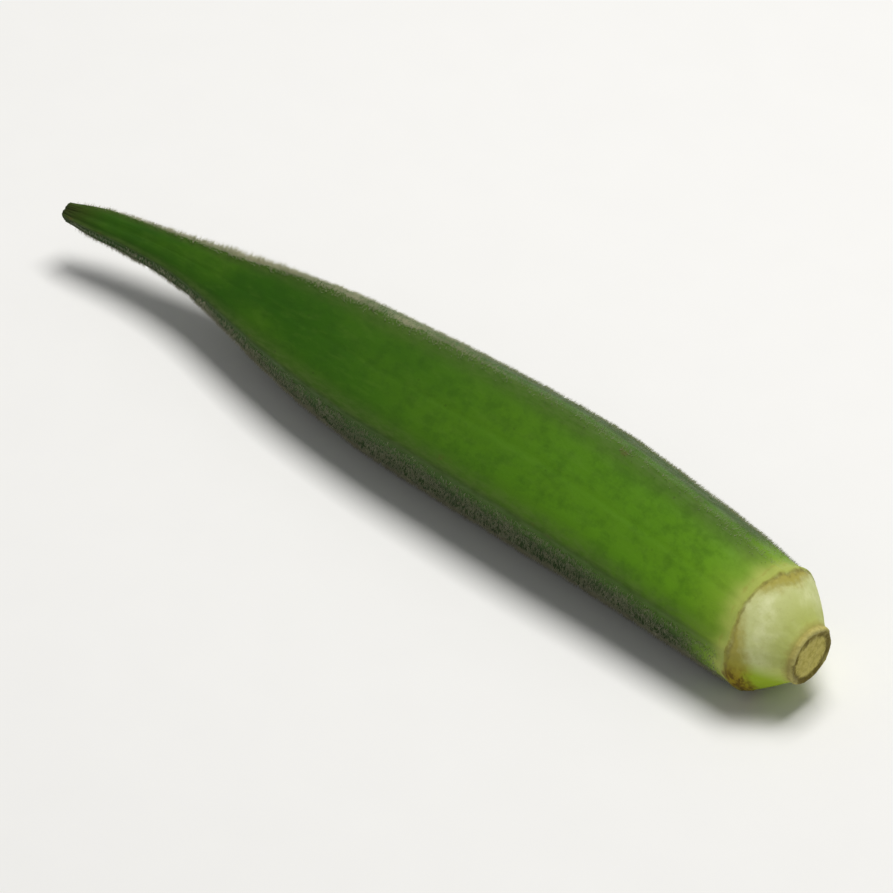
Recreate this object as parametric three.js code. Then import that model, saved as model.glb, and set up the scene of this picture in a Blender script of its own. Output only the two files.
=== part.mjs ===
// An okra pod, picked and laid on its side.
//
// The pod grew as one piece. A thin, blunt beak widens into a green body with five soft ridges. A raised ring,
// the scar that the flower's calyx left, goes round the body near its thick end. Past the ring the body closes in
// a pale dome, the receptacle, and the dome carries the short stub where the stalk was cut.
//
// Millimetres. +X runs along the pod from the beak to the stalk, and +Z is up. The origin is on the surface that
// the pod lies on, under the middle of its box.

import * as THREE from "three";

// ---- Driving dimensions ----

const LENGTH = 108; // beak tip to the stalk's cut face
const HALF_WIDTH = 8.4; // half the width across the ridges, where the pod is thickest
const DOME_HEIGHT = 6.2; // calyx scar to the stalk's cut face
const STALK_RADIUS = 3.35; // of the cut stub
const STALK_STUB = 0.6; // how far the stub stands out of the dome
const BOW = 2.5; // how far the middle of the pod bends sideways, away from its two ends
const PRESS = 0.2; // how much of the lower side is flattened where the pod lies on it

const BODY_LENGTH = LENGTH - DOME_HEIGHT;

// Mesh steps: round the pod, and between two points of its outline.
const STEPS_ROUND = 48;
const STEPS_PER_POINT = 2;

// ---- Outline ----

// Half the pod's width along its body: share of the body's length, share of HALF_WIDTH.
const BODY_OUTLINE = [
  [0, 0],
  [0.003, 0.12],
  [0.018, 0.178],
  [0.04, 0.225],
  [0.08, 0.262],
  [0.13, 0.31],
  [0.18, 0.388],
  [0.235, 0.508],
  [0.295, 0.665],
  [0.355, 0.795],
  [0.47, 0.928],
  [0.59, 0.982],
  [0.71, 1],
  [0.83, 0.96],
  [0.94, 0.905],
  [0.99, 0.872],
  [1, 0.876],
];

// The dome past the scar, without the stub: share of its height, share of the way in to the stub.
const DOME_OUTLINE = [
  [0, 0],
  [0.1, 0.08],
  [0.35, 0.32],
  [0.65, 0.65],
  [0.9, 0.93],
  [1, 1],
];

const bodyCurve = new THREE.SplineCurve(
  BODY_OUTLINE.map(([along, wide]) => new THREE.Vector2(BODY_LENGTH * along, HALF_WIDTH * wide)),
);

const scarHalfWidth = bodyCurve.points.at(-1).y;

const domeCurve = new THREE.SplineCurve(
  DOME_OUTLINE.map(
    ([along, inwards]) =>
      new THREE.Vector2(
        BODY_LENGTH + (DOME_HEIGHT - STALK_STUB) * along,
        THREE.MathUtils.lerp(scarHalfWidth, STALK_RADIUS, inwards),
      ),
  ),
);

// Points (distance from the beak tip, half width) from the tip to the middle of the stalk's cut face.
function podOutline() {
  const body = bodyCurve.getPoints((BODY_OUTLINE.length - 1) * STEPS_PER_POINT);
  const dome = domeCurve.getPoints((DOME_OUTLINE.length - 1) * STEPS_PER_POINT);
  const cutEdge = new THREE.Vector2(LENGTH, STALK_RADIUS);
  const cutMiddle = new THREE.Vector2(LENGTH, 0);
  return [...body, ...dome.slice(1), cutEdge, cutMiddle];
}

// ---- Cross-section ----

// Where the five ridges are, in degrees in the YZ plane, from +Y towards +Z. The pod lies on the side between the
// last two.
const RIDGE_ANGLES = [169, 80, 10, -57, -123];
const RIDGE_SHARPNESS = 9; // higher gives flatter sides and tighter ridges
const RIDGE_SHARE = 1.06; // a ridge's distance from the middle, over half the pod's width

const DOWN = -Math.PI / 2;

// Each side's direction, and its distance from the middle where the ridges are at a distance of 1.
const sides = RIDGE_ANGLES.map((ridge, i) => {
  const next = i + 1 < RIDGE_ANGLES.length ? RIDGE_ANGLES[i + 1] : RIDGE_ANGLES[0] - 360;
  return {
    direction: THREE.MathUtils.degToRad((ridge + next) / 2),
    distance: Math.cos(THREE.MathUtils.degToRad((ridge - next) / 2)),
  };
});

// How far out the five-sided section is at an angle, over half the pod's width.
function fiveSided(angle) {
  const reach = sides.map(({ direction, distance }) => Math.max(0, Math.cos(angle - direction)) / distance);
  const sum = reach.reduce((total, share) => total + share ** RIDGE_SHARPNESS, 0);
  return RIDGE_SHARE * (sum / 2) ** (-1 / RIDGE_SHARPNESS);
}

// How five-sided the pod is along its length, from 0, round, to 1.
function fiveSidedness(along) {
  const { smoothstep } = THREE.MathUtils;
  const beak = 0.45 + 0.4 * smoothstep(along, 0, 0.35 * LENGTH);
  const thickEnd = 1 - 0.6 * smoothstep(along, 0.8 * LENGTH, BODY_LENGTH);
  const dome = 1 - smoothstep(along, BODY_LENGTH, LENGTH - STALK_STUB);
  return beak * thickEnd * dome;
}

function radiusAt(halfWidth, along, angle) {
  return halfWidth * (1 + fiveSidedness(along) * (fiveSided(angle) - 1));
}

// ---- Spine ----

// How far the pod bends sideways along its length: share of LENGTH, share of BOW.
const BOW_OUTLINE = [
  [0, 0],
  [0.07, 0.64],
  [0.14, 1],
  [0.25, 1.06],
  [0.45, 0.99],
  [0.78, 0.78],
  [1, 0],
];

const bowCurve = new THREE.SplineCurve(
  BOW_OUTLINE.map(([along, bend]) => new THREE.Vector2(along * LENGTH, bend * BOW)),
);

// The stretch of the body whose lower side lies on the surface.
const RESTS_FROM = 0.46 * BODY_LENGTH;
const RESTS_TO = 0.995 * BODY_LENGTH;

// The y of a curve whose x only grows, at a given x, found by halving the interval again and again.
function curveAt(curve, x) {
  let low = 0;
  let high = 1;
  for (let step = 0; step < 30; step++) {
    const middle = (low + high) / 2;
    if (curve.getPoint(middle).x < x) low = middle;
    else high = middle;
  }
  return curve.getPoint(low).y;
}

// The lower side reaches the surface all along that stretch, and the spine runs level on either side of it.
function spineHeight(along) {
  const resting = THREE.MathUtils.clamp(along, RESTS_FROM, RESTS_TO);
  return radiusAt(curveAt(bodyCurve, resting), resting, DOWN) - PRESS;
}

// ---- The pod ----

function podGeometry() {
  const stations = podOutline().map(({ x: along, y: halfWidth }) => ({
    along,
    halfWidth,
    bend: curveAt(bowCurve, along),
    height: spineHeight(along),
  }));

  // The lathe turns the outline about Y. Each point then goes to its place round the bent, five-sided pod.
  const profile = stations.map(({ along, halfWidth }) => new THREE.Vector2(halfWidth, along));
  const geometry = new THREE.LatheGeometry(profile, STEPS_ROUND);
  const position = geometry.getAttribute("position");
  for (let i = 0; i < position.count; i++) {
    const { along, halfWidth, bend, height } = stations[i % stations.length];
    const angle = Math.atan2(position.getX(i), position.getZ(i));
    const radius = radiusAt(halfWidth, along, angle);
    const y = bend + radius * Math.cos(angle);
    const z = height + radius * Math.sin(angle);
    position.setXYZ(i, along, y, Math.max(z, 0));
  }

  geometry.computeBoundingBox();
  const middle = geometry.boundingBox.getCenter(new THREE.Vector3());
  geometry.translate(-middle.x, -middle.y, 0);
  geometry.computeVertexNormals();
  return geometry;
}

const skin = new THREE.MeshStandardMaterial({ color: 0x4a7416, roughness: 0.6, metalness: 0 });

const pod = new THREE.Mesh(podGeometry(), skin);
pod.name = "okra_pod";

const part = new THREE.Group();
part.add(pod);

export default part;
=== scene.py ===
# %% [markdown]
# # An okra pod on a pale floor
#
# Okra is the young seed pod of a plant in the mallow family. It grows as one piece, so the whole pod is one
# skin here: a blunt beak, a green body with five ridges, the scar that the flower's calyx left, a pale
# dome, and the stub of the cut stalk. The short hairs that stand on that skin are two more pieces, because
# they share one simple finish of their own.
#
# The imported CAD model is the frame. It gives the pod's length, its place and the surface that it lies on,
# so every size of the pod below is either taken from it or is a small detail in millimetres.

# %% Load the frame
import math
import random
from bisect import bisect_right

import bmesh
import bpy
from mathutils import Matrix, Vector, noise
from mathutils.bvhtree import BVHTree


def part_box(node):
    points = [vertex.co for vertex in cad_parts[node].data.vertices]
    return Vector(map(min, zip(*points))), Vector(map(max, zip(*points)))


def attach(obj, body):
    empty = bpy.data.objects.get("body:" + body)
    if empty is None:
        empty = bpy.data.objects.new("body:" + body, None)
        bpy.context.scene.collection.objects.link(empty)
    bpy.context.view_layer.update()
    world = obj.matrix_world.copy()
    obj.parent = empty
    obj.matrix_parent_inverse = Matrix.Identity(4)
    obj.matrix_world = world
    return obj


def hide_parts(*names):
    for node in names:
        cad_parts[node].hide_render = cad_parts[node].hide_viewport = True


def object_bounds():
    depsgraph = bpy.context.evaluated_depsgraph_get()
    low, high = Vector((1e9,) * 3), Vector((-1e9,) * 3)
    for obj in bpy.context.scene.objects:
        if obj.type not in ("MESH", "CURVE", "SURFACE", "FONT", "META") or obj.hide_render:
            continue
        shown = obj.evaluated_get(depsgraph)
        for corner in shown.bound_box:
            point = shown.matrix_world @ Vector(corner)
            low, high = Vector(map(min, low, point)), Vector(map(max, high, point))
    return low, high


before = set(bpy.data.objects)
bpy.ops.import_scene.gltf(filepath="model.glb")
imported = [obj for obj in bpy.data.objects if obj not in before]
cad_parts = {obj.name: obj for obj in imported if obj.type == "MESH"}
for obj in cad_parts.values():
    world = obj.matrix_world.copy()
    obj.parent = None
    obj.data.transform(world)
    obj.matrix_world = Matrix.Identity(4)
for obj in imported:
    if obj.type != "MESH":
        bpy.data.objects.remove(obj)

MM = 0.001
cad_low, cad_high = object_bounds()
pod_low, pod_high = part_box("okra_pod")
LENGTH = (pod_high.x - pod_low.x) / MM
print(f"the pod is {LENGTH:.1f} mm long, {(pod_high.y - pod_low.y) / MM:.1f} mm wide and "
      f"{(pod_high.z - pod_low.z) / MM:.1f} mm high")

# %% [markdown]
# ## The outline
#
# Cut along its middle, the pod has an outline that can be drawn with a few points and a smooth curve
# through them, as a boat builder bends a batten round a few pins. The points are shares of the pod's length
# and half width, so the outline would follow the CAD model if that changed size.

# %% A smooth curve through a few points
def batten(pins):
    """A function of x that runs smoothly through the given (x, y) pins."""
    xs = [x for x, y in pins]
    ys = [y for x, y in pins]
    rises = [(ys[i + 1] - ys[i]) / (xs[i + 1] - xs[i]) for i in range(len(pins) - 1)]
    slopes = [rises[0]]
    for i in range(1, len(rises)):
        before, after = xs[i] - xs[i - 1], xs[i + 1] - xs[i]
        slopes.append((rises[i - 1] * after + rises[i] * before) / (before + after))
    slopes.append(rises[-1])

    def height(x):
        i = min(max(bisect_right(xs, x) - 1, 0), len(rises) - 1)
        gap = xs[i + 1] - xs[i]
        t = min(max((x - xs[i]) / gap, 0), 1)
        start = (1 + 2 * t) * (1 - t) ** 2 * ys[i] + t * (1 - t) ** 2 * gap * slopes[i]
        end = t * t * (3 - 2 * t) * ys[i + 1] + t * t * (t - 1) * gap * slopes[i + 1]
        return start + end

    return height


def smoothstep(low, high, x):
    """0 at low, 1 at high and past it, and a soft S between them."""
    t = min(max((x - low) / (high - low), 0), 1)
    return t * t * (3 - 2 * t)


def bump(x, centre, width):
    """A soft bump, 1 high at its centre, that is gone two widths away."""
    return math.exp(-(((x - centre) / width) ** 2))


print("a batten through three pins:", round(batten([(0, 0), (1, 1), (2, 0)])(0.5), 3))

# %% The sizes of the pod
HALF_WIDTH = 0.0778 * LENGTH  # across the ridges, where the pod is thickest
DOME_HEIGHT = 0.0574 * LENGTH  # calyx scar to the stalk's cut face
STALK_RADIUS = 0.031 * LENGTH
STALK_STUB = 0.0056 * LENGTH  # how far the cut stalk stands out of the dome
SCAR = LENGTH - DOME_HEIGHT  # where the calyx scar is, from the beak's tip
STUB_FOOT = LENGTH - STALK_STUB
TIP_ROUND = 0.5  # the length of the rounded end of the beak, in mm
DOWN_DEPTH = 0.13  # how much of the CAD pod's outside is down and not skin, in mm

body_half_width = batten([(SCAR * along, HALF_WIDTH * wide) for along, wide in [
    (0, 0.135), (0.018, 0.178), (0.04, 0.225), (0.08, 0.262), (0.13, 0.31), (0.18, 0.388), (0.235, 0.508),
    (0.295, 0.665), (0.355, 0.795), (0.47, 0.928), (0.59, 0.982), (0.71, 1), (0.83, 0.96), (0.94, 0.905),
    (0.99, 0.872), (1, 0.876),
]])
SCAR_RADIUS = body_half_width(SCAR)
dome_half_width = batten([
    (SCAR + (STUB_FOOT - SCAR) * along, SCAR_RADIUS + (STALK_RADIUS - SCAR_RADIUS) * inwards)
    for along, inwards in [(0, 0), (0.1, 0.08), (0.35, 0.32), (0.65, 0.65), (0.9, 0.93), (1, 1)]
])
print(f"scar at {SCAR:.1f} mm with a radius of {SCAR_RADIUS:.2f} mm, stalk radius {STALK_RADIUS:.2f} mm")

# %% [markdown]
# The outline is a row of (distance from the tip, half width) points. They are far apart along the plain
# body, and close together at the scar and on the dome, where the skin has its finest relief. The cut face
# of the stalk is part of the same outline: a rounded rim, a groove where the stalk's outer layer dried
# back, and a slightly sunken middle.

# %% The outline's points
RIM_ROUND = 0.25  # the radius of the cut stalk's rim, in mm
PITH_RADIUS = 0.8 * STALK_RADIUS
PITH_DEPTH = 0.14  # mm
GROOVE_DEPTH = 0.16  # mm
GROOVE_WIDTH = 0.2  # mm
TIP_STEPS, RIM_STEPS = 9, 4  # how many steps the two quarter rounds have
NEAR_SCAR = 3.5  # how far before the scar the fine steps start, in mm
BODY_STEP, SCAR_STEP, DOME_STEP, STUB_STEP, FACE_STEP = 0.36, 0.095, 0.085, 0.09, 0.12  # mm
QUARTER_TURN = math.pi / 2


def steps(start, end, step):
    """Values from start up to, but not including, end, about a step apart."""
    count = max(1, round((end - start) / step))
    return [start + (end - start) * i / count for i in range(count)]


def cut_face(radius):
    """How far along the pod the stalk's cut face is, at a distance from its middle."""
    sunken = PITH_DEPTH * (1 - smoothstep(0.8 * PITH_RADIUS, 1.1 * PITH_RADIUS, radius))
    return LENGTH - sunken - GROOVE_DEPTH * bump(radius, PITH_RADIUS, GROOVE_WIDTH)


outline = []
for turn in steps(0, QUARTER_TURN, QUARTER_TURN / TIP_STEPS):
    outline.append((TIP_ROUND * (1 - math.cos(turn)), body_half_width(0) * math.sin(turn)))
for along in steps(TIP_ROUND, SCAR - NEAR_SCAR, BODY_STEP) + steps(SCAR - NEAR_SCAR, SCAR, SCAR_STEP):
    outline.append((along, body_half_width(along)))
for along in steps(SCAR, STUB_FOOT, DOME_STEP):
    outline.append((along, dome_half_width(along)))
for along in steps(STUB_FOOT, LENGTH - RIM_ROUND, STUB_STEP):
    outline.append((along, STALK_RADIUS))
for turn in steps(0, QUARTER_TURN, QUARTER_TURN / RIM_STEPS):
    along = LENGTH - RIM_ROUND * (1 - math.sin(turn))
    outline.append((along, STALK_RADIUS - RIM_ROUND * (1 - math.cos(turn))))
for inwards in steps(RIM_ROUND, STALK_RADIUS, FACE_STEP):
    outline.append((cut_face(STALK_RADIUS - inwards), STALK_RADIUS - inwards))
outline.append((cut_face(0), 0))
print(len(outline), "outline points")

# %% [markdown]
# ## Five ridges
#
# An okra pod holds five rows of seeds, and a ridge runs along the seam between each two of them. A pentagon
# with soft corners is a short formula: each side pulls the skin in to its own distance, and a high power
# blends the sides at the ridges. Towards the scar the pod gets rounder. The ridges aren't quite evenly
# spaced, as on most pods, and the pod lies on the side between the last two.

# %% The cross-section
RIDGES = [math.radians(angle) for angle in (169, 80, 10, -57, -123)]  # from +Y towards +Z
RIDGE_GAPS = [ridge - after for ridge, after in zip(RIDGES, RIDGES[1:] + [RIDGES[0] - math.tau])]
RIDGE_SHARPNESS = 9
RIDGE_SHARE = 1.06  # a ridge's distance from the middle, over the half width
SIDES = [(ridge - gap / 2, math.cos(gap / 2)) for ridge, gap in zip(RIDGES, RIDGE_GAPS)]


def five_sided(angle):
    """How far out the five-sided section is at an angle, over the half width."""
    pull = sum(max(0, math.cos(angle - side) / near) ** RIDGE_SHARPNESS for side, near in SIDES)
    return RIDGE_SHARE * (pull / 2) ** (-1 / RIDGE_SHARPNESS)


def five_sidedness(along):
    """0 where the pod is round and 1 where it is fully five-sided."""
    beak = 0.45 + 0.4 * smoothstep(0, 0.35 * LENGTH, along)
    thick_end = 1 - 0.6 * smoothstep(0.8 * LENGTH, SCAR, along)
    return beak * thick_end * (1 - smoothstep(SCAR, STUB_FOOT, along))


def section(half_width, along, angle):
    """The plain skin's distance from the spine."""
    return half_width * (1 + five_sidedness(along) * (five_sided(angle) - 1))


def from_ridge(angle):
    """0 on the nearest ridge and 1 halfway to the next one, and that ridge's number."""
    shares = []
    for number, ridge in enumerate(RIDGES):
        away = (angle - ridge + math.pi) % math.tau - math.pi
        gap = RIDGE_GAPS[number] if away < 0 else RIDGE_GAPS[number - 1]
        shares.append((abs(away) / (gap / 2), number))
    return min(shares)


print("section at a ridge and at the middle of a side:", round(five_sided(RIDGES[0]), 3),
      round(five_sided(SIDES[0][0]), 3))

# %% [markdown]
# ## The bend
#
# The pod bows to one side, most of all near the beak. Its lower side touches the surface from the middle to
# the scar, and is pressed a little flat there, while the beak stays in the air.

# %% The spine
BOW = 0.0231 * LENGTH
PRESS = 0.2  # mm
RESTS_FROM, RESTS_TO = 0.46 * SCAR, 0.995 * SCAR
DOWN = -math.pi / 2
bow = batten([(LENGTH * along, BOW * bend) for along, bend in [
    (0, 0), (0.07, 0.64), (0.14, 1), (0.25, 1.06), (0.45, 0.99), (0.78, 0.78), (1, 0),
]])


def spine(along):
    """The spine's Y and Z at a distance from the beak's tip."""
    resting = min(max(along, RESTS_FROM), RESTS_TO)
    return bow(along), section(body_half_width(resting), resting, DOWN) - PRESS


print("the spine's height under the beak and in the middle, in mm:",
      [round(spine(along)[1], 2) for along in (0, LENGTH / 2)])

# %% [markdown]
# ## The skin's relief
#
# A formula alone looks turned on a lathe. Real skin swells and sinks a little over the seeds, has a fine
# crest on each ridge and a faint seam down the middle of each side, and the scar is a wavy, broken line.
# Each of these is a small function that says how far the skin stands out at one spot, in millimetres. Noise
# that is read at the spot's place on the straight pod grows with the pod and doesn't slide.

# %% Swellings, crests and seams
NOISE_RADIUS = 8  # the pod's radius where the noise is read, in mm
CREST, SWELLING, SEAM, FURROW = 0.15, 0.08, 0.05, 0.1  # about how high or deep these are, in mm


def wobble(along, angle, fineness, stretch=1.0, seed=0.0):
    """Smooth noise from -1 to 1 on the straight pod. A stretch above 1 draws it out along the pod."""
    across = NOISE_RADIUS * fineness
    lengthways = along * fineness / stretch + seed
    return noise.noise(Vector((lengthways, across * math.cos(angle), across * math.sin(angle))))


def body_relief(along, angle):
    """How far the body's skin stands out of its plain section."""
    size = body_half_width(along) / HALF_WIDTH
    share, number = from_ridge(angle)
    swelling = SWELLING * wobble(along, angle, 0.11, 1.4, 3.1) + 0.045 * wobble(along, angle, 0.3, 1.0, 8.7)
    crest = CREST * bump(share, 0, 0.085) - 0.06 * bump(share, 0.24, 0.1)
    crest *= 0.85 + 0.4 * wobble(along, number, 0.3, 2.0, 5.5)
    seam = -SEAM * bump(share, 1, 0.07)
    grain = 0.015 * wobble(along, angle, 1.3, 7.0, 1.9)
    beak = 1 - smoothstep(0.1 * LENGTH, 0.3 * LENGTH, along)
    furrow = -FURROW * beak * bump(share, 1, 0.35)
    withered = 0.09 * (1 - smoothstep(1.0, 3.5, along)) * wobble(along, angle, 1.1, 1.0, 4.9)
    return size * (swelling + seam) + (0.45 + 0.55 * size) * crest + grain + furrow + withered - DOWN_DEPTH


print("relief on a ridge and on a seam, in mm:", round(body_relief(60, RIDGES[1]), 3),
      round(body_relief(60, SIDES[1][0]), 3))

# %% [markdown]
# The calyx fell off along a ring. It left a thin, cracked line between the body and the dome. The line runs
# towards the stalk a little on every ridge and wanders between them. A strip of tan cork, with cracks of
# its own, has grown along the line on the near side, and a slighter one on the far side and underneath.
# Between them, on top, there is hardly any.

# %% The scar, the dome and the stub
CORK_WIDTH = 2.4  # mm, where the cork is widest
CORKY_SIDES = [(200, 1.0, 56), (72, 0.55, 42), (-70, 0.8, 55)]  # degrees, amount, half width in degrees
FAR_SIDE, FAR_WIDTH = math.radians(50), math.radians(28)  # where the scar runs further over the dome
RIDGE_LOBE, FAR_LOBE = 0.3, 0.7  # how far the scar runs over the dome there, in mm


def scar_line(angle):
    """How far from the beak's tip the scar is."""
    lobe = RIDGE_LOBE * math.cos(math.pi * from_ridge(angle)[0]) + FAR_LOBE * bump(angle, FAR_SIDE, FAR_WIDTH)
    return SCAR + lobe + 0.2 * wobble(0, angle, 0.28, 1.0, 4.4) + 0.09 * wobble(0, angle, 1.1, 1.0, 9.2)


def corkiness(angle):
    """1 where the cork is widest, and 0 where there is none."""
    amount = 0
    for side, height, width in CORKY_SIDES:
        away = (angle - math.radians(side) + math.pi) % math.tau - math.pi
        amount = max(amount, height * bump(away, 0, math.radians(width)))
    return amount


def scar_relief(past, angle):
    """The scar's lip and cracks, at a distance past its line."""
    rough = 1 + 0.7 * wobble(past, angle, 0.9, 1.0, 2.2)
    cork = corkiness(angle)
    lip = 0.07 * bump(past, -0.35, 0.25)
    crack = -0.07 * rough * bump(past, 0, 0.12)
    width = 0.25 + CORK_WIDTH * cork
    welt = 0.09 * cork * bump(past, 0.5 * width, 0.4 * width)
    flakes = 0.07 * cork * bump(past, 0.5 * width, 0.5 * width) * wobble(past, angle, 2.4, 0.6, 6.1)
    second_crack = -0.1 * cork * rough * bump(past, 0.7 * width, 0.13)
    return lip + crack + welt + flakes + second_crack


def dome_relief(along, angle):
    """Soft facets that run from the ridges to the stub, and a fine unevenness."""
    up = min(max((along - SCAR) / (STUB_FOOT - SCAR), 0), 1)
    facets = 0.06 * math.cos(math.pi * from_ridge(angle)[0]) * math.sin(math.pi * up)
    uneven = 0.07 * wobble(along, angle, 0.4, 1.0, 7.3) + 0.025 * wobble(along, angle, 1.3, 1.0, 0.6)
    foot = -0.08 * bump(along, STUB_FOOT, 0.2)
    return facets + uneven + foot


def stub_relief(along, angle):
    """The cut stalk's ragged side."""
    return 0.24 * wobble(0, angle, 0.25, 1.0, 3.3) + 0.07 * wobble(along, angle, 1.4, 1.0, 5.8)


print("the scar wanders between", *(round(pick(scar_line(turn / 20) for turn in range(126)), 2)
                                    for pick in (min, max)), "mm from the tip")

# %% [markdown]
# ## Spinning the skin
#
# The outline becomes a row of vertices joined by edges, and Blender's spin operator turns it once round the
# pod's length. That gives even rings of quads, which can then be pushed to their places. The ends of the
# outline are on the axis, so the spin leaves a stack of vertices there, and merging those closes the two
# poles.

# %% Spin the outline
AROUND = 180  # how many steps there are round the pod
skin = bmesh.new()
row = [skin.verts.new((along, half_width, 0)) for along, half_width in outline]
edges = [skin.edges.new(pair) for pair in zip(row, row[1:])]
bmesh.ops.spin(skin, geom=row + edges, cent=(0, 0, 0), axis=(1, 0, 0), dvec=(0, 0, 0), angle=math.tau,
               steps=AROUND, use_merge=True, use_normal_flip=False, use_duplicate=False)
poles = [vert for vert in skin.verts if math.hypot(vert.co.y, vert.co.z) < 1e-6]
bmesh.ops.remove_doubles(skin, verts=poles, dist=1e-4)
print(len(skin.verts), "vertices and", len(skin.faces), "faces")

# %% [markdown]
# Each vertex now moves to its place on the bent, five-sided pod, and keeps a few facts for the material:
# its place on the straight pod in millimetres, how near it is to a ridge, how far it is past the scar, and
# how corky the scar is there.

# %% Push the skin to its shape
straight_layer = skin.verts.layers.float_vector.new("straight")
flank_layer = skin.verts.layers.float.new("flank")
past_scar_layer = skin.verts.layers.float.new("past_scar")
cork_layer = skin.verts.layers.float.new("cork")


def relief(along, angle, half_width):
    """The whole relief at one spot, and how far past the scar it is."""
    past = along - scar_line(angle)
    on_body = 1 - smoothstep(-0.9, 0.2, past)
    on_stub = smoothstep(STUB_FOOT - 0.1, STUB_FOOT + 0.25, along)
    total = on_body * body_relief(along, angle) + scar_relief(past, angle)
    total += (1 - on_body) * (1 - on_stub) * dome_relief(along, angle) + on_stub * stub_relief(along, angle)
    return total * min(1, half_width / (0.2 * STALK_RADIUS)), past


CUT_ROUGHNESS = 0.07  # how far the cut face is uneven, in mm
for vert in skin.verts:
    along, half_width = vert.co.x, math.hypot(vert.co.y, vert.co.z)
    angle = math.atan2(vert.co.z, vert.co.y)
    outwards, past = relief(along, angle, half_width)
    radius = section(half_width, along, angle) + outwards
    side, up = radius * math.cos(angle), radius * math.sin(angle)
    if half_width < STALK_RADIUS - RIM_ROUND and along > STUB_FOOT:
        along += CUT_ROUGHNESS * noise.noise(Vector((0.5, 1.5 * side, 1.5 * up)))
    spine_y, spine_z = spine(along)
    vert.co = (along, spine_y + side, max(spine_z + up, 0))
    vert[straight_layer] = (along, side, up)
    vert[flank_layer] = from_ridge(angle)[0]
    vert[past_scar_layer] = past
    vert[cork_layer] = corkiness(angle)
print("shaped; highest point", round(max(vert.co.z for vert in skin.verts), 2), "mm")

# %% [markdown]
# The shaped pod goes to the CAD model's place. The merging can leave the faces in another order in each
# run, and the hairs are drawn by chance from those faces, so the faces are sorted by the numbers of their
# vertices.

# %% Put the skin where the CAD model is
ys = [vert.co.y for vert in skin.verts]
xs = [vert.co.x for vert in skin.verts]
to_frame = Matrix.Diagonal((MM, MM, MM, 1)) @ Matrix.Translation((
    (pod_low.x + pod_high.x) / 2 / MM - (min(xs) + max(xs)) / 2,
    (pod_low.y + pod_high.y) / 2 / MM - (min(ys) + max(ys)) / 2,
    pod_low.z / MM,
))
bmesh.ops.transform(skin, matrix=to_frame, verts=skin.verts)
bmesh.ops.recalc_face_normals(skin, faces=skin.faces)
skin.verts.index_update()
ordered = sorted(skin.faces, key=lambda face: sorted(vert.index for vert in face.verts))
for number, face in enumerate(ordered):
    face.smooth = True
    face.index = number
skin.faces.sort()


def new_object(name, shape):
    """A mesh object at the origin, with its place in its mesh."""
    mesh = bpy.data.meshes.new(name)
    shape.to_mesh(mesh)
    made = bpy.data.objects.new(name, mesh)
    bpy.context.scene.collection.objects.link(made)
    return made


pod_skin = new_object("pod_skin", skin)
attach(pod_skin, "root")
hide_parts("okra_pod")

cad_pod = bmesh.new()
cad_pod.from_mesh(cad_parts["okra_pod"].data)
cad_surface = BVHTree.FromBMesh(cad_pod)
gaps = [cad_surface.find_nearest(vert.co)[3] / MM for vert in pod_skin.data.vertices]
print(f"the skin lies {sum(gaps) / len(gaps):.3f} mm from the CAD model on average, and "
      f"{max(gaps):.2f} mm at most")

# %% [markdown]
# ## Hairs
#
# Okra is downy: short, stiff, pale hairs stand on its green skin, thickest along the ridges. Seen from
# straight above they almost vanish, but where the skin turns away they close up into a grey fringe. A
# particle system or geometry nodes could grow them. Here one thin cone is copied many thousands of times,
# because each copy is then plain mesh with only four faces, and nothing has to be evaluated later.

# %% One hair
HAIR_ROOT = 0.026  # the radius of a hair's root, in mm
HAIR_SUNK = 0.08  # the share of a hair that is below the skin

hair_shape = bmesh.new()
bmesh.ops.create_cone(hair_shape, cap_ends=True, segments=3, radius1=HAIR_ROOT, radius2=0, depth=1)
bmesh.ops.translate(hair_shape, verts=hair_shape.verts, vec=(0, 0, 0.5 - HAIR_SUNK))
one_hair = bpy.data.meshes.new("one_hair")
hair_shape.to_mesh(one_hair)
print("one hair has", len(one_hair.polygons), "faces")

# %% [markdown]
# Each face of the skin gets a weight, its area times how hairy that place is, and a weighted draw picks a
# face for each hair. The hair then goes to a chance spot on that face and has a chance length. All hairs
# lean a little towards the stalk, and each one leans by chance too. Hairs that would reach below the
# surface that the pod lies on are left out.

# %% Where hairs grow
COMBED = Vector((0.5, 0, 0))  # how the hairs lean towards the stalk


def on_green(past):
    """1 on the green body, and 0 from the straw-coloured edge at the scar onwards."""
    return 1 - smoothstep(-3.2, -0.7, past)


def patchy(straight):
    """A changing amount around 1, so that the down is thicker in some places and stands in small tufts."""
    slow = noise.noise(Vector((straight.x * 0.25, straight.y * 0.5, straight.z * 0.5)))
    tufts = noise.noise(Vector((straight.x * 0.9, straight.y * 1.4, straight.z * 1.4)))
    return max(0.05, 1 + 0.8 * slow + 1.3 * tufts)


def past_tip(straight):
    """0 at the withered tip, which is bare, and 1 a few millimetres from it."""
    return smoothstep(0.5, 4, straight.x)


def unrubbed(straight):
    """0 on the broad top side, where the down is worn off, and up to 1 past that side's two ridges."""
    away = (math.atan2(straight.z, straight.y) - SIDES[0][0] + math.pi) % math.tau - math.pi
    share = away / (RIDGE_GAPS[0] / 2)  # -1 on the far ridge of the top side and 1 on its near ridge
    thick_half = smoothstep(0.38 * LENGTH, 0.62 * LENGTH, straight.x)
    worn_ridge = 0.9 * thick_half * bump(share, -1, 1)
    near_side = smoothstep(1.04, 1.35, share)
    far_side = smoothstep(0.88, 1.1, -share) * (1 - worn_ridge)
    return (near_side + far_side) * past_tip(straight)


def ridge_length(straight):
    """Hairs are longest on the upper ridges where the beak widens into the body."""
    return 1 + 1.1 * bump(straight.x, 0.21 * LENGTH, 0.09 * LENGTH) * smoothstep(-1, 1, straight.z)


def ridge_hairiness(straight, flank, past):
    """The down on the ridges, which is thickest where it is longest."""
    amount = on_green(past) * patchy(straight) * unrubbed(straight)
    return amount * bump(flank, 0, 0.25) * ridge_length(straight)


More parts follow.
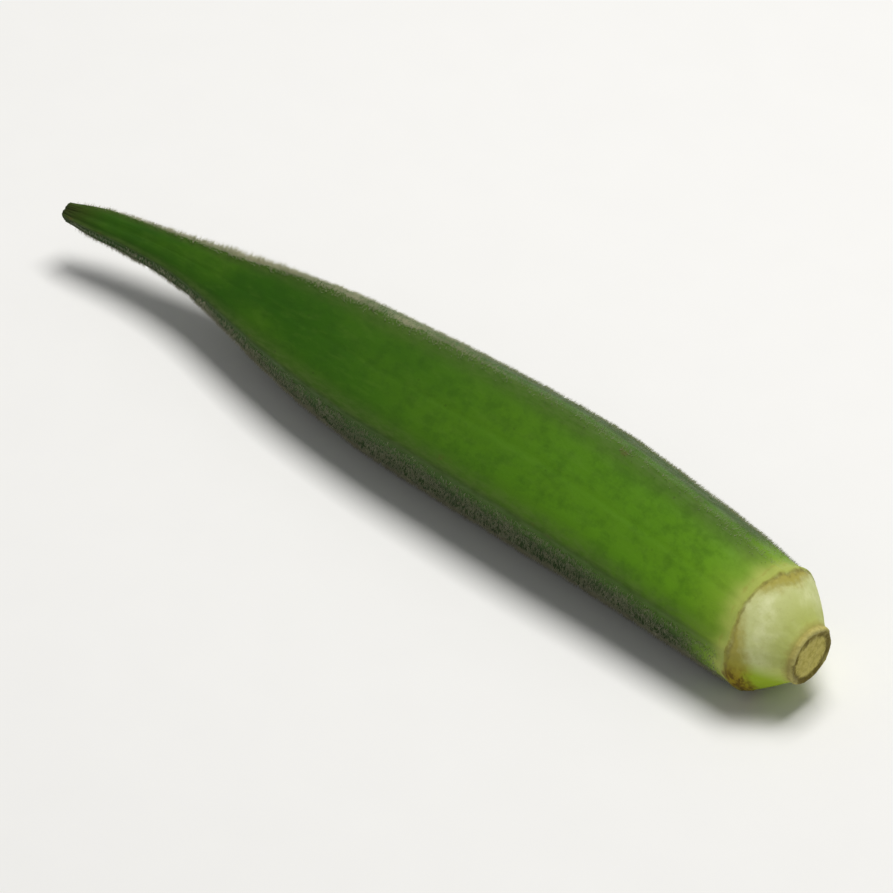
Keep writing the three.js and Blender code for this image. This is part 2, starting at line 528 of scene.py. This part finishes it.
def side_length(straight):
    """The hairs of the sides are as long in one place as in another."""
    return 1


def side_hairiness(straight, flank, past):
    """The down between the ridges, which is thicker near them and low on the near side."""
    low_front = smoothstep(0, -2, straight.z) * smoothstep(1, -1, straight.y)
    away_from_ridges = (0.25 + 0.55 * low_front) * (1 - bump(flank, 0, 0.5))
    amount = on_green(past) * patchy(straight) * unrubbed(straight)
    return amount * (away_from_ridges + bump(flank, 0, 0.5))


def corners(face):
    """The face's vertices in order round it, from the one with the lowest number."""
    verts = list(face.verts)
    start = min(range(len(verts)), key=lambda i: verts[i].index)
    return verts[start:] + verts[:start]


def facing(face):
    """The way that the face looks, as a vector as long as the face is large."""
    first, second, third, last = [corners(face)[i].co for i in (0, 1, 2, -1)]
    return (third - first).cross(last - second) / 2


HAIR_SPREAD = 0.22  # how much a hair leans by chance
SHORTEST, LONGEST = 0.55, 1.3  # a hair's length over the usual one
CLEAR_OF_FLOOR = 0.1  # how far above the floor a hair's tip has to be, in mm


def grow_hairs(name, hairiness, length_share, count, length, seed):
    """A piece made of that many hairs on the pod's skin."""
    chance = random.Random(seed)
    weights = []
    for face in skin.faces:
        corner = corners(face)[0]
        amount = hairiness(corner[straight_layer], corner[flank_layer], corner[past_scar_layer])
        weights.append(amount * facing(face).length)
    hairs = bmesh.new()
    left_out = 0
    for face in chance.choices(list(skin.faces), weights=weights, k=count):
        first, second, third, last = [corners(face)[i].co for i in (0, 1, 2, -1)]
        across, back = chance.random(), chance.random()
        root = first.lerp(second, across).lerp(last.lerp(third, across), back)
        usual = length * length_share(corners(face)[0][straight_layer]) * MM
        tall = usual * chance.uniform(SHORTEST, LONGEST)
        chance_lean = Vector([chance.gauss(0, HAIR_SPREAD) for axis in "XYZ"])
        lean = facing(face).normalized() + COMBED + chance_lean
        upright_to_lean = lean.to_track_quat("Z", "Y").to_matrix().to_4x4()
        place = Matrix.Translation(root) @ upright_to_lean @ Matrix.Diagonal((MM, MM, tall, 1))
        if (place @ Vector((0, 0, 1))).z < pod_low.z + CLEAR_OF_FLOOR * MM:
            left_out += 1
            continue
        copy = one_hair.copy()
        copy.transform(place)
        hairs.from_mesh(copy)
        bpy.data.meshes.remove(copy)
    piece = new_object(name, hairs)
    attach(piece, "root")
    print(f"{name}: {count - left_out} hairs, {left_out} left out, {len(piece.data.polygons)} faces")
    return piece


# %% Grow the hairs
ridge_hairs = grow_hairs("ridge_hairs", ridge_hairiness, ridge_length, count=30000, length=0.5, seed=3)
side_hairs = grow_hairs("side_hairs", side_hairiness, side_length, count=42000, length=0.44, seed=8)

# %% [markdown]
# ## A short way to write materials
#
# A material is a graph of nodes, but it reads best as arithmetic. The class below wraps one socket of a
# node. Its operators add Math nodes, so `1 - mask` works, and one method adds any other node: its type,
# then its settings, then the values or links of its inputs.

# %% The node helper
def fill_ramp(ramp, stops):
    """Sets a colour ramp's stops, given as (place, colour)."""
    while len(ramp.elements) < len(stops):
        ramp.elements.new(0.5)
    for element, (place, colour) in zip(ramp.elements, stops):
        element.position = place
        element.color = colour


class Wire:
    """An output of a node, which Python's operators can calculate with."""

    def __init__(self, tree, socket=None):
        self.tree = tree
        self.socket = socket

    def node(self, kind, settings=None, values=None, output=0):
        """Adds a node, and gives a wire from one of its outputs."""
        made = self.tree.nodes.new(kind)
        for name, value in (settings or {}).items():
            if name == "stops":
                fill_ramp(made.color_ramp, value)
            else:
                setattr(made, name, value)
        for name, value in (values or {}).items():
            if isinstance(value, Wire):
                self.tree.links.new(value.socket, made.inputs[name])
            else:
                made.inputs[name].default_value = value
        return Wire(self.tree, made.outputs[output]) if made.outputs else None

    def math(self, operation, *values):
        return self.node("ShaderNodeMath", {"operation": operation}, dict(enumerate(values)))

    def __add__(self, other):
        return self.math("ADD", self, other)

    __radd__ = __add__

    def __sub__(self, other):
        return self.math("SUBTRACT", self, other)

    def __rsub__(self, other):
        return self.math("SUBTRACT", other, self)

    def __mul__(self, other):
        return self.math("MULTIPLY", self, other)

    __rmul__ = __mul__

    def __truediv__(self, other):
        return self.math("DIVIDE", self, other)

    def __pow__(self, other):
        return self.math("POWER", self, other)

    def __abs__(self):
        return self.math("ABSOLUTE", self)

    def rise(self, low, high):
        """0 where this is below low, 1 above high, and a soft S between them."""
        return self.node("ShaderNodeMapRange", {"interpolation_type": "SMOOTHSTEP"},
                         {"Value": self, "From Min": low, "From Max": high})

    def fall(self, low, high):
        return 1 - self.rise(low, high)

    def blend(self, first, second):
        """The first colour where this is 0 and the second where it is 1."""
        return self.node("ShaderNodeMix", {"data_type": "RGBA"}, {0: self, 6: first, 7: second}, output=2)


def new_finish(name, *pieces):
    """An empty material on some pieces, and a wire to start its graph from."""
    material = bpy.data.materials.new(name)
    material.use_nodes = True
    material.node_tree.nodes.clear()
    for piece in pieces:
        piece.data.materials.append(material)
    return Wire(material.node_tree)


def rgb(red, green, blue):
    return (red, green, blue, 1.0)


print("the node helper is ready")

# %% [markdown]
# ## The pod's colours
#
# The beak is dark green, and brown at its tip. The body gets lighter and yellower towards the thick end,
# and turns pale straw in the last millimetres before the scar, where the calyx kept the light off it. The
# dome is cream with a breath of green, and the cut stalk is tan.
#
# A colour ramp along the pod gives the plain green, and each later layer is blended over it by a mask.
# Clouds, mottling and fibres make it uneven. The ridges have darker edges, which are painted shade. The far
# side, the other flanks and the underside are painted darker too, as painted shade from other pods lying
# close to them.

# %% Where on the pod a spot is
graph = new_finish("pod_skin_finish", pod_skin)


def kept(name, output="Fac"):
    """One of the facts that the skin's vertices keep."""
    return graph.node("ShaderNodeAttribute", {"attribute_name": name}, output=output)


straight = kept("straight", "Vector")
flank, past, cork = kept("flank"), kept("past_scar"), kept("cork")
along, side, up = [
    graph.node("ShaderNodeSeparateXYZ", values={"Vector": straight}, output=axis) for axis in "XYZ"
]
from_middle = (side * side + up * up) ** 0.5


def grain(stretch, scale, detail=3.0, roughness=0.55, shift=0.0):
    """Noise from about 0.3 to 0.7 on the straight pod, drawn out along it."""
    place = graph.node("ShaderNodeVectorMath", {"operation": "MULTIPLY_ADD"},
                       {0: straight, 1: (1 / stretch, 1, 1), 2: (shift, shift, shift)})
    return graph.node("ShaderNodeTexNoise", values={"Vector": place, "Scale": scale, "Detail": detail,
                                                    "Roughness": roughness})


print("the pod's wires are ready")

# %% Green body
uneven_along = along / LENGTH + (grain(2.0, 0.12, 2.0, shift=2.0) - 0.5) * 0.05
body = graph.node("ShaderNodeValToRGB", {"stops": [
    (0.0, rgb(0.034, 0.034, 0.009)), (0.018, rgb(0.034, 0.060, 0.006)), (0.05, rgb(0.024, 0.086, 0.003)),
    (0.3, rgb(0.023, 0.086, 0.003)), (0.48, rgb(0.042, 0.125, 0.005)), (0.66, rgb(0.070, 0.185, 0.006)),
    (0.8, rgb(0.088, 0.228, 0.007)), (0.9, rgb(0.125, 0.285, 0.010)),
]}, {"Fac": uneven_along})
clouds = grain(2.0, 0.16, 4.0, shift=11.0)
fibres = grain(3.5, 1.3, 4.0, 0.6, shift=4.0)
mottle = grain(1.1, 0.55, 5.0, 0.65, shift=23.0)
fresh_green, mottled_green = rgb(0.090, 0.200, 0.008), rgb(0.020, 0.068, 0.003)
fibre_green, ridge_shade_green = rgb(0.13, 0.24, 0.03), rgb(0.036, 0.072, 0.008)
body = (clouds.rise(0.35, 0.7) * 0.3).blend(body, fresh_green)
body = (mottle.rise(0.4, 0.7) * 0.36).blend(body, mottled_green)
body = (fibres.rise(0.48, 0.72) * 0.1).blend(body, fibre_green)
# Painted shade: the ridges and their edges are painted a darker green.
body = (flank.fall(-0.1, 0.5) * 0.62).blend(body, ridge_shade_green)

# Painted shade: wherever the skin turns away from the broad top side, the body is painted a darker green,
# most of all on the thick half.
far_shade_green, underside_shade_green = rgb(0.036, 0.066, 0.013), rgb(0.014, 0.030, 0.005)
turned_up = (side * math.cos(SIDES[0][0]) + up * math.sin(SIDES[0][0])) / from_middle
far_shade = turned_up.fall(0.3, 0.78) * past.fall(-7.0, -2.0) * (0.5 + 0.32 * along.rise(46.0, 62.0))
body = far_shade.blend(body, far_shade_green)
# Painted shade: the underside is painted a darker green still.
underside_shade = (up * -1).rise(-2.5, 3.5) * past.fall(-5.0, -1.0)
body = (underside_shade * 0.7).blend(body, underside_shade_green)
print("the green body is ready")

# %% [markdown]
# The pale zone before the scar fades in over several millimetres. Noise moves it to and fro by about half a
# millimetre, so that it doesn't end in a straight line.

# %% Yellowing and straw
past_uneven = past + (grain(3.0, 0.5, 3.0, shift=31.0) - 0.5) * 2.4
yellowing = past_uneven.rise(-9.0, -1.0) ** 1.8
straw = past_uneven.rise(-3.6, -0.3) ** 1.5
yellow_green, pale_straw = rgb(0.22, 0.36, 0.030), rgb(0.45, 0.49, 0.12)
body = (yellowing * 0.7).blend(body, yellow_green)
body = (straw * 0.8).blend(body, pale_straw)
print("the edge of the body is ready")

# %% [markdown]
# The dome is cream near the scar. It gets yellower and greener towards the stalk. It is painted a little
# lighter low down and darker on top, as painted light and shade, and its low front is green, partly its own
# colour and partly painted shade.

# %% Dome
up_dome = along.rise(SCAR, STUB_FOOT + 0.4)
dome_patches = grain(1.0, 0.42, 4.0, shift=3.0)
dome_speckle = grain(1.0, 2.4, 4.0, 0.6, shift=17.0)
low_front = side * -0.55 - up * 0.84
lower_side = low_front.rise(1.9, 4.4)
cream, greenish_cream = rgb(0.79, 0.82, 0.46), rgb(0.60, 0.64, 0.28)
low_yellow_and_light, top_yellow_and_shade = rgb(0.62, 0.68, 0.13), rgb(0.39, 0.44, 0.078)
low_green_and_shade, speckle_brown = rgb(0.32, 0.45, 0.022), rgb(0.42, 0.40, 0.13)
# Painted light and shade: the up term makes the patches lighter low down and darker on top.
dome = (dome_patches + up * 0.025).rise(0.34, 0.7).blend(cream, greenish_cream)
# Painted light and shade: near the stalk the low side is a brighter yellow and the top a duller one.
near_stalk = up.rise(-4.5, 3.0).blend(low_yellow_and_light, top_yellow_and_shade)
dome = (up_dome ** 1.3 * 0.85).blend(dome, near_stalk)
# The low front's green is partly the dome's own colour and partly painted shade.
dome = lower_side.blend(dome, low_green_and_shade)
dome = (dome_speckle.rise(0.52, 0.75) * 0.22).blend(dome, speckle_brown)
colour = past.rise(-0.3, 0.3).blend(body, dome)
print("the dome is ready")

# %% [markdown]
# The scar is a thin olive-brown line that fades in places. Where there is cork, the strip past the line is
# olive tan, and lower down it is orange tan with dark cracks. A fainter, broken line before it is an older
# edge of the calyx.

# %% Scar
line_breaks = grain(1.0, 0.9, 4.0, 0.65, shift=41.0)
line_place = past + (grain(1.0, 0.9, 3.0, shift=53.0) - 0.5) * 0.9
cork_edge = 0.2 + CORK_WIDTH * cork + (line_breaks - 0.5) * 1.4
cork_band = cork.rise(0.03, 0.4) * line_place.rise(-0.5, 0.2) * (line_place - cork_edge).fall(-1.1, 0.5)
olive_tan, orange_tan, crack_brown = rgb(0.36, 0.31, 0.040), rgb(0.29, 0.19, 0.014), rgb(0.11, 0.065, 0.006)
line_brown, old_brown = rgb(0.18, 0.155, 0.040), rgb(0.30, 0.23, 0.045)
tan_cork = low_front.rise(3.0, 5.8).blend(olive_tan, orange_tan)
colour = (cork_band * 0.85).blend(colour, tan_cork)
across_cork = grain(0.3, 0.8, 3.0, 0.6, shift=47.0)
dark_cork = cork_band * low_front.rise(3.2, 5.6) * cork.rise(0.4, 0.8) * across_cork.rise(0.38, 0.58)
colour = (dark_cork * 0.9).blend(colour, crack_brown)
thin_line = abs(line_place).fall(0.05, 0.4) * (0.4 + 0.6 * line_breaks.rise(0.4, 0.6))
colour = (thin_line * 0.65).blend(colour, line_brown)
old_line = abs(line_place + 1.3).fall(0.0, 0.35) * line_breaks.fall(0.38, 0.52)
colour = (old_line * 0.3).blend(colour, old_brown)
print("the scar is ready")

# %% [markdown]
# The stalk was cut a while ago, so its foot has dried tan, and its rim is tan in places and dark in others.
# Inside the rim a broken, dark brown ring shows where the stalk's outer layer parted from the middle, and
# the middle is olive tan with paler patches.

# %% The cut stalk
stub = along.rise(STUB_FOOT - 0.35, STUB_FOOT + 0.1)
stub_grain = grain(1.0, 1.7, 4.0, 0.65, shift=61.0)
# The rim's dark places follow noise, and there are more of them low down and towards the pod's +Y side.
rim_darkness = (grain(1.0, 0.35, 2.0, shift=67.0) - up * 0.06 + side * 0.03).rise(0.4, 0.66)
rim_tan, rim_dark = rgb(0.57, 0.52, 0.17), rgb(0.14, 0.112, 0.026)
pith_pale, pith_olive = rgb(0.66, 0.59, 0.155), rgb(0.46, 0.40, 0.090)
ring_brown, foot_tan = rgb(0.125, 0.095, 0.014), rgb(0.34, 0.28, 0.070)
rim = (stub_grain.rise(0.35, 0.65) * 0.4 + rim_darkness * 0.6).blend(rim_tan, rim_dark)
pith = stub_grain.rise(0.35, 0.65).blend(pith_pale, pith_olive)
on_face = along.rise(LENGTH - 0.4, LENGTH - 0.15)
stalk = (on_face * from_middle.fall(PITH_RADIUS - 0.1, PITH_RADIUS + 0.15)).blend(rim, pith)
ring_place = from_middle - PITH_RADIUS + (stub_grain - 0.5) * 1.1 + (dome_patches - 0.5) * 1.2
ring = on_face * abs(ring_place).fall(0.1, 0.58) * (0.5 + 0.5 * line_breaks.rise(0.38, 0.58))
stalk = (ring * 0.85).blend(stalk, ring_brown)
colour = stub.blend(colour, stalk)
foot_ring = abs(along - STUB_FOOT + 0.1 + (stub_grain - 0.5) * 1.2).fall(0.05, 0.75)
colour = (foot_ring * 0.45).blend(colour, foot_tan)
print("the cut stalk is ready")

# %% [markdown]
# Handling leaves small brown rubs, mostly on the ridges, and the skin has a few dark specks. The bloom is
# the grey cast of down too fine to model, and it is strongest on the ridges.

# %% Rubs, specks and bloom
on_body = past.fall(-4.0, -0.8)
rub_brown, speck_dark, bloom_grey = rgb(0.10, 0.07, 0.02), rgb(0.02, 0.03, 0.004), rgb(0.12, 0.165, 0.050)
rubs = grain(2.5, 0.5, 4.0, 0.6, shift=71.0).rise(0.64, 0.73) * flank.fall(0.05, 0.4) * on_body
colour = (rubs * 0.55).blend(colour, rub_brown)
cells = graph.node("ShaderNodeTexVoronoi", values={"Vector": straight, "Scale": 0.55}, output="Distance")
speck_choice = grain(1.0, 0.35, 2.0, shift=83.0).rise(0.52, 0.62)
specks = cells.fall(0.05, 0.12) * speck_choice * on_body
colour = (specks * 0.35).blend(colour, speck_dark)

down = grain(3.5, 2.6, 4.0, 0.7, shift=91.0)
bloom = flank.fall(0.02, 0.35) * (0.3 + 0.7 * down.rise(0.38, 0.62)) * on_body
colour = (bloom * 0.32).blend(colour, bloom_grey)
print("marks and bloom are ready")

# %% [markdown]
# ## The skin's finish
#
# The skin is satin under its down. Base colour, roughness and the bump vary over the surface. The sheen
# stands for the finest down, which catches the light where the skin turns away, and it is the same
# everywhere.

# %% Finish the skin
height = fibres * 0.5 + grain(1.2, 3.2, 3.0, 0.6, shift=7.0) * 0.4 + dome_speckle * past.rise(0, 0.5) * 0.4
height = height + down * flank.fall(0.02, 0.5) * 0.4
BUMP_HEIGHT = 0.1 * MM
surface = graph.node("ShaderNodeBump", values={"Strength": 0.5, "Distance": BUMP_HEIGHT, "Height": height})
roughness = 0.5 + 0.14 * mottle.rise(0.35, 0.65) + 0.1 * past.rise(-1, 0.5)
shader = graph.node("ShaderNodeBsdfPrincipled", values={
    "Base Color": colour, "Roughness": roughness, "Normal": surface, "IOR": 1.42, "Specular IOR Level": 0.15,
    "Sheen Weight": 0.03, "Sheen Roughness": 0.3, "Sheen Tint": rgb(0.85, 0.88, 0.7),
})
graph.node("ShaderNodeOutputMaterial", values={"Surface": shader})
print("nodes in the skin's finish:", len(graph.tree.nodes))

# %% [markdown]
# ## The hairs' finish
#
# A hair is a pale, almost clear bristle. It is cream at some places and greyer or greener at others, so the
# colour changes slowly from patch to patch. On the far side of the thick half the hairs are painted greener
# and darker, and low on the pod they are painted a dull, darker grey: both are painted shade.

# %% Finish the hairs
graph = new_finish("hair_finish", ridge_hairs, side_hairs)
place = graph.node("ShaderNodeTexCoord", output="Object")
patches = graph.node("ShaderNodeTexNoise", values={"Vector": place, "Scale": 260.0, "Detail": 2.0})
cream_hair, grey_hair = rgb(0.66, 0.65, 0.46), rgb(0.50, 0.52, 0.34)
far_shade_hair, low_shade_hair = rgb(0.30, 0.35, 0.17), rgb(0.40, 0.39, 0.27)
along, side, up = [
    graph.node("ShaderNodeSeparateXYZ", values={"Vector": place}, output=axis) / MM for axis in "XYZ"
]
pale = patches.rise(0.35, 0.65).blend(cream_hair, grey_hair)
# Painted shade: hairs on the far side of the thick half are painted greener and darker.
pale = (along.rise(-8.0, 8.0) * side.rise(0.5, 4.0) * 0.75).blend(pale, far_shade_hair)
# Painted shade: hairs low on the pod are painted a dull, darker grey.
hair_colour = up.rise(7.6, 9.6).blend(low_shade_hair, pale)
shader = graph.node("ShaderNodeBsdfPrincipled", values={
    "Base Color": hair_colour, "Roughness": 0.5 + 0.1 * patches, "Specular IOR Level": 0.3,
})
graph.node("ShaderNodeOutputMaterial", values={"Surface": shader})
print("the hairs' finish is ready")

# %% [markdown]
# ## Floor, light and camera
#
# The floor is plain and pale. One large soft light hangs over the pod, a little behind it, so that the down
# on the far ridges catches the light and the near side falls into soft shade. The sky gives the rest.

# %% Floor
FLOOR_REACH = 30 * (pod_high.x - pod_low.x)  # from the middle of the floor to its edge
floor_shape = bmesh.new()
bmesh.ops.create_grid(floor_shape, x_segments=1, y_segments=1, size=FLOOR_REACH)
bmesh.ops.translate(floor_shape, verts=floor_shape.verts, vec=(0, 0, pod_low.z))
floor = new_object("floor", floor_shape)
graph = new_finish("floor_finish", floor)
paper = graph.node("ShaderNodeTexNoise", values={"Scale": 900.0, "Detail": 2.0})
shade = (paper * 0.5).blend(rgb(0.86, 0.86, 0.85), rgb(0.90, 0.90, 0.89))
shader = graph.node("ShaderNodeBsdfPrincipled", values={"Base Color": shade, "Roughness": 0.8})
graph.node("ShaderNodeOutputMaterial", values={"Surface": shader})
print("the floor is", round(floor.dimensions.x, 2), "m wide")

# %% Lights
scene = bpy.context.scene
scene.view_settings.view_transform = "Standard"
middle = (cad_low + cad_high) / 2


def soft_light(name, place, size, power, colour):
    """A square area light that looks at the pod."""
    data = bpy.data.lights.new(name, "AREA")
    data.size = size
    data.energy = power
    data.color = colour
    light = bpy.data.objects.new(name, data)
    light.location = middle + Vector(place)
    light.rotation_mode = "QUATERNION"
    light.rotation_quaternion = Vector(place).to_track_quat("Z", "Y")
    scene.collection.objects.link(light)
    print(f"{name}: {power} W, {light.location.length:.2f} m away")


WARM_WHITE = (1.0, 0.985, 0.96)
SKY_STRENGTH = 0.24
soft_light("key_light", place=(0.02, 0.12, 0.56), size=0.28, power=3.0, colour=WARM_WHITE)
world = bpy.data.worlds.new("soft_sky")
scene.world = world
world.use_nodes = True
world.node_tree.nodes["Background"].inputs["Color"].default_value = rgb(1.0, 1.0, 1.0)
world.node_tree.nodes["Background"].inputs["Strength"].default_value = SKY_STRENGTH

# %% [markdown]
# The camera looks down on the pod from its front right, with a long lens, so that the dome turns towards
# the viewer and the beak points away to the upper left.

# %% Camera
AZIMUTH, ELEVATION = math.radians(41.6), math.radians(42.3)
DISTANCE = 7.4 * (pod_high.x - pod_low.x)
MARGIN = 1.16  # the frame's width over the pod's, as the camera sees it
back = Vector((math.sin(AZIMUTH) * math.cos(ELEVATION), -math.cos(AZIMUTH) * math.cos(ELEVATION),
               math.sin(ELEVATION)))
turn = (-back).to_track_quat("-Z", "Y")
right, upwards = turn @ Vector((1, 0, 0)), turn @ Vector((0, 1, 0))
seen = []
for vert in pod_skin.data.vertices:
    away = vert.co - middle
    nearer = DISTANCE / (DISTANCE - away.dot(back))
    seen.append((away.dot(right) * nearer, away.dot(upwards) * nearer))
low_right, high_right = min(s[0] for s in seen), max(s[0] for s in seen)
low_up, high_up = min(s[1] for s in seen), max(s[1] for s in seen)
aim = middle + right * (low_right + high_right) / 2 + upwards * (low_up + high_up) / 2
frame_width = MARGIN * max(high_right - low_right, high_up - low_up)

camera_data = bpy.data.cameras.new("camera")
camera_data.lens = camera_data.sensor_width * DISTANCE / frame_width
camera_data.clip_start, camera_data.clip_end = 0.01, 100
camera = bpy.data.objects.new("camera", camera_data)
camera.location = aim + back * DISTANCE
camera.rotation_mode = "QUATERNION"
camera.rotation_quaternion = turn
scene.collection.objects.link(camera)
scene.camera = camera
print(f"the camera is {DISTANCE:.2f} m away with a {camera_data.lens:.0f} mm lens")
